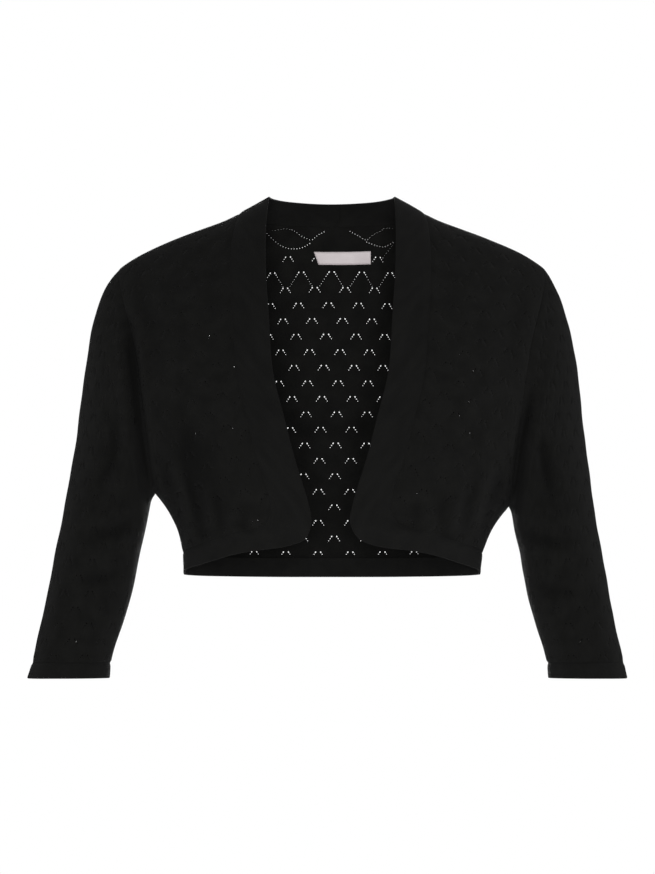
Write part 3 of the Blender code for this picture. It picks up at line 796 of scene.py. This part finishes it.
def clear_holes(grid, holes):
    """The holes that stay clear of the seams and of each other, and their middles."""
    last = np.array(grid.shape[:2]) - 1
    kept, middles = [], np.zeros((0, 3))
    for ring in holes:
        centre = tiled(grid, ring.mean(axis=0))
        if (ring < EDGE_ROOM).any() or (ring > last - EDGE_ROOM).any():
            continue
        if len(middles) and (np.linalg.norm(middles - centre, axis=1) < HOLE_ROOM).any():
            continue
        kept.append(ring)
        middles = np.vstack([middles, centre])
    return kept, middles


def lace_mesh(grid, kind):
    """Places, triangles and cloth lengths of a lace panel with its holes left open."""
    across, up = cloth_lengths(grid, grid.shape[1] // 2)
    kept, middles = clear_holes(grid, lace_holes(grid, across, up, kind))
    size = np.array(grid.shape[:2])
    rows, columns = np.meshgrid(spread(size[0]), spread(size[1]), indexing="ij")
    base = np.stack([rows.ravel(), columns.ravel()], axis=1)
    far = np.ones(len(base), bool)
    base_points = tiled(grid, base)
    for centre in middles:
        far &= np.linalg.norm(base_points - centre, axis=1) > YARN_ROOM
    edge = (base == 0).any(axis=1) | (base == size - 1).any(axis=1)
    base = base[far | edge]
    points = np.vstack([base, *kept])
    owner = np.concatenate([np.full(len(base), -1), *(np.full(len(r), n) for n, r in enumerate(kept))])
    edges, at = [], len(base)
    for ring in kept:
        count = len(ring)
        edges += [(at + k, at + (k + 1) % count) for k in range(count)]
        at += count
    cell = np.array([np.abs(np.diff(up, axis=0)).mean(), np.abs(np.diff(across, axis=1)).mean()])
    flat = [Vector((p[1] * cell[1], p[0] * cell[0])) for p in points]
    made = delaunay_2d_cdt(flat, edges, [], 0, 1e-5, True)
    where = np.array([(p[1] / cell[0], p[0] / cell[1]) for p in made[0]])
    owner = np.array([owner[origin[0]] if origin else -1 for origin in made[3]])
    faces = np.array([face for face in made[2]])
    in_hole = (owner[faces] >= 0).all(axis=1) & (np.ptp(owner[faces], axis=1) == 0)
    return where, faces[~in_hole], across, up


def crease_shift(points):
    """How far the creases push each point along Y."""
    shift = np.zeros(len(points))
    flat = points[:, [0, 2]]
    for face, depth, half_width, line in CREASES:
        line = np.array(line, float)
        ends = np.cumsum(np.linalg.norm(np.diff(line, axis=0), axis=1))
        best = np.full(len(points), 1e9)
        along = np.zeros(len(points))
        start = 0.0
        for a, b, end in zip(line, line[1:], ends):
            share = np.clip(((flat - a) @ (b - a)) / ((b - a) @ (b - a)), 0, 1)
            off = np.linalg.norm(flat - a - share[:, None] * (b - a), axis=1)
            nearer = off < best
            best[nearer] = off[nearer]
            along[nearer] = (start + share * (end - start))[nearer] / ends[-1]
            start = end
        # It is shallower towards its ends, and has a low ridge along each side.
        fade = np.clip(np.minimum(along, 1 - along) * 3.2, 0, 1)
        fade = 0.25 + 0.75 * fade * fade * (3 - 2 * fade)
        q = best / half_width
        profile = np.exp(-(q**2)) - 0.18 * np.exp(-((q - 2.1) ** 2))
        near = np.clip((face * points[:, 1] - FACE_BLEND[0]) / (FACE_BLEND[1] - FACE_BLEND[0]), 0, 1)
        shift -= face * depth * fade * profile * near
    return shift


def waviness(points):
    """Slight unevenness of hand-worn knit, along the normal."""
    x, y, z = points.T
    return 0.5 * (
        np.sin(x / 17 + z / 31 + 1.3) * np.sin(z / 23 - y / 19 + 0.7)
        + 0.7 * np.sin(x / 9.5 - z / 14 + 2.1) * np.sin(z / 11 + y / 13)
    )


def seam_out(points, out):
    """The way a seam faces: round an armhole it is the same for the panel and the sleeve."""
    x, y, z = points.T
    near = np.clip((abs(x) - 110) / 30, 0, 1) * np.clip((z + 345) / 20, 0, 1)
    apart = np.stack([0 * x, y - ARMHOLE_MIDDLE[0], z - ARMHOLE_MIDDLE[1]], axis=1)
    apart /= np.linalg.norm(apart, axis=1, keepdims=True)
    mixed = out * (1 - near)[:, None] + apart * near[:, None]
    return mixed / np.linalg.norm(mixed, axis=1, keepdims=True)


def shaped(grid, normals, where, seams):
    """Points of the cloth's outer face at places of a grid, creased and turned in at seams."""
    points, out = tiled(grid, where), tiled(normals, where)
    out = out / np.linalg.norm(out, axis=1, keepdims=True)
    rows, columns = grid.shape[0] - 1, grid.shape[1] - 1
    cell = np.array(
        [
            np.linalg.norm(np.diff(grid, axis=0), axis=2).mean(),
            np.linalg.norm(np.diff(grid, axis=1), axis=2).mean(),
        ]
    )
    distance = np.full(len(where), 1e9)
    sides = {
        "top": where[:, 0] * cell[0],
        "foot": (rows - where[:, 0]) * cell[0],
        "start": where[:, 1] * cell[1],
        "end": (columns - where[:, 1]) * cell[1],
    }
    for name in seams:
        distance = np.minimum(distance, sides[name])
    still = np.clip(distance / SEAM_STILL, 0, 1)
    dip = SEAM_DIP * np.exp(-((distance / SEAM_REACH) ** 2))
    moved = points + out * (waviness(points) * still)[:, None] - seam_out(points, out) * dip[:, None]
    moved[:, 1] += crease_shift(points)
    return moved, out


def fibre(nodes, links, slot):
    """The knit's look: rows of small V stitches on the cloth's own map, their troughs and the creases
    darkened as painted shade.
    """
    low, high, roughness, specular, sheen, sheen_roughness = LINEAR[slot]
    wale, course, strength = {
        "black_knit": (1.55, 1.2, 0.55),
        "black_band_knit": (1.3, 1.05, 0.6),
        "label_satin": (0.34, 0.5, 0.15),
    }[slot]
    shader = nodes["Principled BSDF"]

    def value(operation, first, second=None):
        node = nodes.new("ShaderNodeMath")
        node.operation = operation
        for socket, given in zip(node.inputs, (first, second)):
            if given is None:
                continue
            if isinstance(given, (int, float)):
                socket.default_value = given
            else:
                links.new(given, socket)
        return node.outputs[0]

    chart = nodes.new("ShaderNodeUVMap")
    chart.uv_map = "Cloth"
    apart = nodes.new("ShaderNodeSeparateXYZ")
    links.new(chart.outputs[0], apart.inputs[0])
    across = value("MULTIPLY", apart.outputs[0], 1 / (wale * MM))
    up = value("MULTIPLY", apart.outputs[1], 1 / (course * MM))
    in_wale = value("ABSOLUTE", value("SUBTRACT", value("FRACT", across), 0.5))
    leg = value("SUBTRACT", up, value("MULTIPLY", in_wale, 1.5))
    loop = value("ABSOLUTE", value("SINE", value("MULTIPLY", leg, math.pi)))
    rib = value("SINE", value("MULTIPLY", in_wale, 2 * math.pi))
    height = value("MULTIPLY", value("POWER", loop, 0.6), value("ADD", value("MULTIPLY", rib, 0.8), 0.2))
    cloud = nodes.new("ShaderNodeTexNoise")
    cloud.inputs["Scale"].default_value = 55
    cloud.inputs["Detail"].default_value = 3
    links.new(chart.outputs[0], cloud.inputs["Vector"])
    fuzz = nodes.new("ShaderNodeTexNoise")
    fuzz.inputs["Scale"].default_value = 2600
    fuzz.inputs["Detail"].default_value = 2
    links.new(chart.outputs[0], fuzz.inputs["Vector"])
    rough_height = value("ADD", height, value("MULTIPLY", fuzz.outputs["Fac"], 0.5))
    # Painted shade: the colour darkens with the stitches' relief, lowest in their troughs; the cloud adds
    # random tone.
    share = value("MULTIPLY", value("ADD", value("MULTIPLY", height, 0.75), 0.25), cloud.outputs["Fac"])
    mix = nodes.new("ShaderNodeMix")
    mix.data_type = "RGBA"
    mix.inputs["A"].default_value = (*low, 1)
    mix.inputs["B"].default_value = (*high, 1)
    # Painted shade in the creases: their depth pulls the colour down to the darkest one.
    painted_crease_shade = nodes.new("ShaderNodeAttribute")
    painted_crease_shade.attribute_name = "painted_crease_shade"
    after_painted_shade = value("SUBTRACT", 1.5, value("MULTIPLY", painted_crease_shade.outputs["Fac"], PAINTED_SHADE_STRENGTH))
    links.new(value("MULTIPLY", share, after_painted_shade), mix.inputs["Factor"])
    links.new(mix.outputs["Result"], shader.inputs["Base Color"])
    bump = nodes.new("ShaderNodeBump")
    bump.inputs["Strength"].default_value = strength
    bump.inputs["Distance"].default_value = 0.35 * MM
    links.new(rough_height, bump.inputs["Height"])
    links.new(bump.outputs["Normal"], shader.inputs["Normal"])
    shader.inputs["Roughness"].default_value = roughness
    shader.inputs["Specular IOR Level"].default_value = specular
    shader.inputs["Sheen Weight"].default_value = sheen
    shader.inputs["Sheen Roughness"].default_value = sheen_roughness


def material(slot):
    name = "look_" + slot
    made = bpy.data.materials.get(name)
    if made is None:
        made = bpy.data.materials.new(name)
        made.use_nodes = True
        fibre(made.node_tree.nodes, made.node_tree.links, slot)
    return made


def eased_out(points):
    """The cloth hangs a touch longer and slimmer towards the cuffs than the solids do."""
    share = (points[:, 2] - HANG_MIDDLE) / abs(HANG_MIDDLE)
    x = points[:, 0] * (1 + HANG_TAPER * share)
    z = HANG_MIDDLE + (points[:, 2] - HANG_MIDDLE) * (1 + HANG_LONGER)
    return np.stack([x, points[:, 1], z], axis=1)


def painted_crease_shades(points):
    """Painted shade for each point, from 0 to 1, by how deep in a crease it lies: its colour is darkened
    there to stand in for shade.
    """
    return np.clip(crease_shift(points) * np.sign(points[:, 1]) / -PAINTED_SHADE_DEPTH, 0, 1)


def add_piece(name, node, slot, points, faces, chart):
    """A mesh piece that stands for a solid, with its cloth lengths as its map."""
    mesh = bpy.data.meshes.new(name)
    mesh.from_pydata((eased_out(points) * MM).tolist(), [], [list(map(int, face)) for face in faces])
    layer = mesh.uv_layers.new(name="Cloth")
    corners = np.zeros(len(mesh.loops), int)
    mesh.loops.foreach_get("vertex_index", corners)
    layer.data.foreach_set("uv", (chart[corners] * MM).ravel())
    # The creases' depth, stored so that the material paints shade into the colour.
    mesh.attributes.new("painted_crease_shade", "FLOAT", "POINT").data.foreach_set("value", painted_crease_shades(points))
    mesh.shade_smooth()
    mesh.materials.append(material(slot))
    thing = bpy.data.objects.new(name, mesh)
    bpy.context.scene.collection.objects.link(thing)
    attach(thing, "root")
    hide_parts(node)
    return thing


def evened(grid):
    """The same surface with its rows an even length of cloth apart."""
    _, up = cloth_lengths(grid, 0)
    run = (up[:1] - up).mean(axis=1)
    rows = np.interp(np.linspace(0, run[-1], round(run[-1] / CLOTH_STEP) + 1), run, np.arange(len(run)))
    row, column = np.meshgrid(rows, np.arange(grid.shape[1]), indexing="ij")
    even = tiled(grid, np.stack([row, column], axis=-1))
    for _ in range(EVENING):
        beside = even[:-2, 1:-1] + even[2:, 1:-1] + even[1:-1, :-2] + even[1:-1, 2:]
        even[1:-1, 1:-1] = even[1:-1, 1:-1] / 2 + beside / 8
    return even


def lace_piece(node, grid, closed, kind):
    """A thin lace-knit panel with real holes, its flat width, length and area."""
    grid = evened(grid)
    way = outward_way(grid, closed)
    normals = piece_normals(grid, way, closed)
    where, faces, across, up = lace_mesh(grid, kind)
    points, _ = shaped(grid, normals, where, ("top", "foot", "start", "end"))
    if way < 0:
        faces = faces[:, ::-1]
    chart = np.stack([tiled(across, where), tiled(up, where)], axis=1)
    thing = add_piece(node + "_lace", node, "black_knit", points, faces, chart)
    wall = thing.modifiers.new("wall", "SOLIDIFY")
    wall.thickness = LACE_WALL * MM
    wall.offset = -1
    return thing, float(np.ptp(across)), float(np.ptp(up)), piece_area(grid)


def piece_area(grid):
    across, down = grid[1:, 1:] - grid[:-1, :-1], grid[1:, :-1] - grid[:-1, 1:]
    return float(np.linalg.norm(np.cross(across, down), axis=2).sum() / 2)


def rounded_shell(outer, out, distance):
    """The two faces of a doubled band, which meet in a round fold at the free edge. distance is
    how far each point lies from that edge."""
    radius = BAND_WALL / 2
    near = np.clip(1 - distance / radius, 0, 1)
    half = radius * np.sqrt(np.clip(1 - near**2, 0, 1))
    face = outer - out * (radius - half)[..., None]
    back = outer - out * (radius + half)[..., None]
    return face, back


def numbered(grid):
    """The numbers of a grid's points, in its own rows and columns."""
    rows, columns = grid.shape[:2]
    return np.arange(rows * columns).reshape(rows, columns)


def both_layers(order):
    """Quads over a grid of points, and the same turned over on a second layer."""
    quads = np.stack([order[:-1, :-1], order[1:, :-1], order[1:, 1:], order[:-1, 1:]], axis=-1)
    faces = []
    for quad in quads.reshape(-1, 4).tolist():
        faces += [quad, [k + order.size for k in quad[::-1]]]
    return faces


def rim(line, total):
    """Quads that join the two layers along a line of points."""
    return [[a, b, b + total, a + total] for a, b in zip(line, line[1:])]


def band_places(grid, free, filling):
    """(row, column) places over a doubled band, closest at its fold and its seam, and how far
    each lies from the fold."""
    axis = 1 if free == "start" else 0
    width = np.linalg.norm(np.diff(grid, axis=axis), axis=2).sum(axis=axis).mean()
    middle = np.linspace(FOLD_ROWS[-1], width - SEAM_ROWS[-1], filling + 2)[1:-1]
    places = np.concatenate([FOLD_ROWS, middle, (width - SEAM_ROWS)[::-1]])
    count = grid.shape[axis] - 1
    other = np.arange(grid.shape[1 - axis], dtype=float)
    if free == "start":
        row, column = np.meshgrid(other, places / width * count, indexing="ij")
        distance = np.broadcast_to(places, row.shape)
    else:
        row, column = np.meshgrid((width - places) / width * count, other, indexing="ij")
        distance = np.broadcast_to(places[:, None], row.shape)
    return np.stack([row, column], axis=-1), distance


def band_piece(node, grid, closed, free, filling):
    """A plain doubled band. Its free edge is the grid's side named free, start or foot, and its
    seam is the side across from that. filling is its rows between fold and seam."""
    normals = piece_normals(grid, outward_way(grid, closed), closed)
    where, distance = band_places(grid, free, filling)
    shape = (*distance.shape, 3)
    where = where.reshape(-1, 2)
    points, out = shaped(grid, normals, where, ("end",) if free == "start" else ("top",))
    points, out = points.reshape(shape), out.reshape(shape)
    if closed:
        points[:, -1], out[:, -1] = points[:, 0], out[:, 0]
    face, back = rounded_shell(points, out, distance)
    across, up = cloth_lengths(grid, grid.shape[1] // 2)
    chart = np.stack([tiled(across, where), tiled(up, where)], axis=1)
    order = numbered(points)
    if free == "start":
        chart = chart[:, ::-1]
        rims = [order[:, -1], order[0], order[-1, ::-1]]
    else:
        rims = [order[-1, ::-1], order[:, -1], order[::-1, 0]]
    faces = both_layers(order)
    for line in rims[:1] if closed else rims:
        faces += rim(line, order.size)
    layers = np.vstack([face.reshape(-1, 3), back.reshape(-1, 3)])
    thing = add_piece(node + "_knit", node, "black_band_knit", layers, faces, np.vstack([chart, chart]))
    settle(thing)
    return thing, float(np.ptp(across)), float(np.ptp(up)), piece_area(grid)


def settle(thing):
    """Joins points that share a place and turns every face out."""
    mesh = bmesh.new()
    mesh.from_mesh(thing.data)
    bmesh.ops.remove_doubles(mesh, verts=mesh.verts, dist=0.02 * MM)
    bmesh.ops.recalc_face_normals(mesh, faces=mesh.faces)
    mesh.to_mesh(thing.data)
    mesh.free()


def opened(ring_grid):
    """A tube's rings opened along the underarm line, with its middle column on the outside."""
    half = ring_grid.shape[1] // 2
    rolled = np.roll(ring_grid, half, axis=1)
    return np.concatenate([rolled, rolled[:, :1]], axis=1)


def add_label(back):
    """The blank woven label inside the back. Its end on the wearer's right is slanted."""
    zs = np.linspace(LABEL_Z[1], LABEL_Z[0], 7)
    half = back.shape[0] // 2
    grid = []
    for z, slant in zip(zs, np.linspace(0, LABEL_SLANT, len(zs))):
        wanted = [(x, z) for x in np.linspace(LABEL_X[0] + slant, LABEL_X[1], 25)]
        places = find(back[:half, :, 0], back[:half, :, 2], wanted, back.shape[1] // 2)
        grid.append([tiled(back, place) for place in places])
    grid = np.array(grid)
    x, z = grid[..., 0], grid[..., 2]
    lean = np.stack([x / NECK_SEAM_DEPTH / 2, np.full_like(x, 1.0), np.full_like(x, 0.25)], axis=-1)
    inwards = -lean / np.linalg.norm(lean, axis=-1, keepdims=True)
    lift = LABEL_LIFT + 0.35 * np.sin(x / 7.3) * np.sin(z / 5 + 1)
    face = grid + inwards * (lift + LABEL_WALL)[..., None]
    base = grid + inwards * lift[..., None]
    order = numbered(grid)
    loop = [*order[0], *order[1:, -1], *order[-1, -2::-1], *order[-2::-1, 0]]
    faces = both_layers(order) + rim(loop, order.size)
    chart = np.stack([x, z], axis=-1).reshape(-1, 2)
    points = np.vstack([face.reshape(-1, 3), base.reshape(-1, 3)])
    thing = add_piece("label_woven", "label", "label_satin", points, faces, np.vstack([chart, chart]))
    settle(thing)
    return thing, float(np.ptp(x)), float(np.ptp(z)), piece_area(grid)


def build_cloth():
    """Every piece, each with its flat width, length and area."""
    grids = {"back": back_panel()}
    for side in SLEEVE:
        grids["front_" + side] = front_panel(side)
    for side in SLEEVE:
        grids["band_" + side] = band(side, grids)
    grids["hem_band_back"] = hem_band(grids)
    for side in SLEEVE:
        grids["sleeve_" + side] = sleeve(side, grids)
        grids["cuff_" + side] = cuff(side, grids)
    made = [lace_piece("back", grids["back"], False, "back")]
    for side in SLEEVE:
        made.append(lace_piece("front_" + side, grids["front_" + side], False, "front"))
        made.append(lace_piece("sleeve_" + side, opened(grids["sleeve_" + side]), True, "sleeve"))
    for side in SLEEVE:
        made.append(band_piece("band_" + side, grids["band_" + side], False, "start", 7))
        made.append(band_piece("cuff_" + side, opened(grids["cuff_" + side]), True, "foot", 4))
    made.append(band_piece("hem_band_back", grids["hem_band_back"], False, "foot", 4))
    made.append(add_label(grids["back"]))
    return made


def add_camera():
    """The photo's view, from a little below and close enough for its perspective."""
    data = bpy.data.cameras.new("camera")
    data.lens = CAMERA_LENS
    data.sensor_width = 36
    data.clip_end = 60
    camera = bpy.data.objects.new("camera", data)
    camera.location = CAMERA_PLACE
    aim = Vector(CAMERA_AIM) - camera.location
    camera.rotation_euler = aim.to_track_quat("-Z", "Y").to_euler()
    bpy.context.scene.collection.objects.link(camera)
    bpy.context.scene.camera = camera


def add_studio():
    """A pale floor, white surroundings and soft lamps."""
    mesh = bpy.data.meshes.new("floor")
    corners = [(x, y, 0) for x, y in ((-1, -1), (1, -1), (1, 1), (-1, 1))]
    mesh.from_pydata((np.array(corners) * FLOOR_HALF).tolist(), [], [(0, 1, 2, 3)])
    floor = bpy.data.objects.new("floor", mesh)
    floor.location = (0, 0, FLOOR_HEIGHT)
    paint = bpy.data.materials.new("floor")
    paint.use_nodes = True
    shader = paint.node_tree.nodes["Principled BSDF"]
    shader.inputs["Base Color"].default_value = (0.9, 0.9, 0.9, 1)
    shader.inputs["Roughness"].default_value = 0.9
    shader.inputs["Specular IOR Level"].default_value = 0.1
    mesh.materials.append(paint)
    bpy.context.scene.collection.objects.link(floor)
    world = bpy.data.worlds.new("studio")
    world.use_nodes = True
    world.node_tree.nodes["Background"].inputs["Color"].default_value = (1, 1, 1, 1)
    world.node_tree.nodes["Background"].inputs["Strength"].default_value = 1.0
    bpy.context.scene.world = world
    for name, place, power, size in LIGHTS:
        data = bpy.data.lights.new(name, "AREA")
        data.energy = power
        data.size = size
        lamp = bpy.data.objects.new(name, data)
        lamp.location = place
        aim = Vector(LIGHTS_AIM) - lamp.location
        lamp.rotation_euler = aim.to_track_quat("-Z", "Y").to_euler()
        bpy.context.scene.collection.objects.link(lamp)


bpy.context.scene.view_settings.view_transform = "Standard"
add_camera()
add_studio()
for thing, wide, long, area in build_cloth():
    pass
